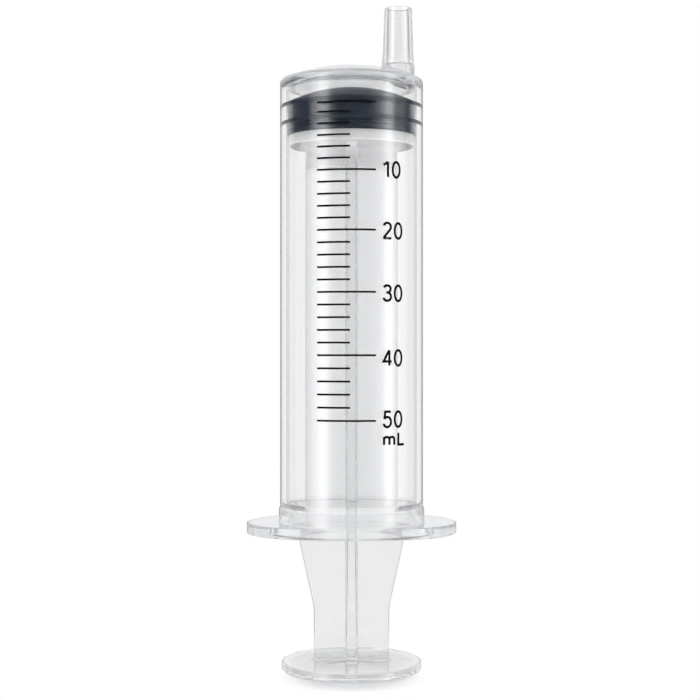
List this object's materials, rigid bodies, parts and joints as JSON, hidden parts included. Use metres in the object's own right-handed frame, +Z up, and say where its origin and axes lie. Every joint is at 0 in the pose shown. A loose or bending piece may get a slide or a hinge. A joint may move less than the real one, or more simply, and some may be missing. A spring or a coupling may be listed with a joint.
{
  "type": "three-part syringe",
  "caption": "Clear disposable syringe with an off-centre tapered nozzle, oval finger flange, dark rubber gasket and a cross-shaped plunger rod, standing on its thumb press.",
  "frame": {"origin": "centre of the thumb press at the face it stands on", "axes": "+Z up along the barrel's axis to the nozzle, +X toward the off-centre nozzle and along the flange, -Y toward the printed side"},
  "size_m": [0.048, 0.035, 0.1518],
  "materials": {
    "rod_plastic": "translucent, moulded",
    "gasket_rubber": "satin, lubricated",
    "barrel_plastic": "clear, polished"
  },
  "bodies": {
    "plunger": {"plunger_rod": "rod_plastic"},
    "gasket": {"gasket": "gasket_rubber"},
    "barrel": {"barrel": "barrel_plastic"}
  },
  "joints": [
    {"name": "rod_turn", "type": "hinge", "parent": "plunger", "child": "gasket", "pos_m": [0, 0, 0.125], "axis": [0, 0, 1], "continuous": true},
    {"name": "barrel_slide", "type": "slide", "parent": "gasket", "child": "barrel", "axis": [0, 0, 1], "range_m": [-0.0026, 0.0824]}
  ]
}
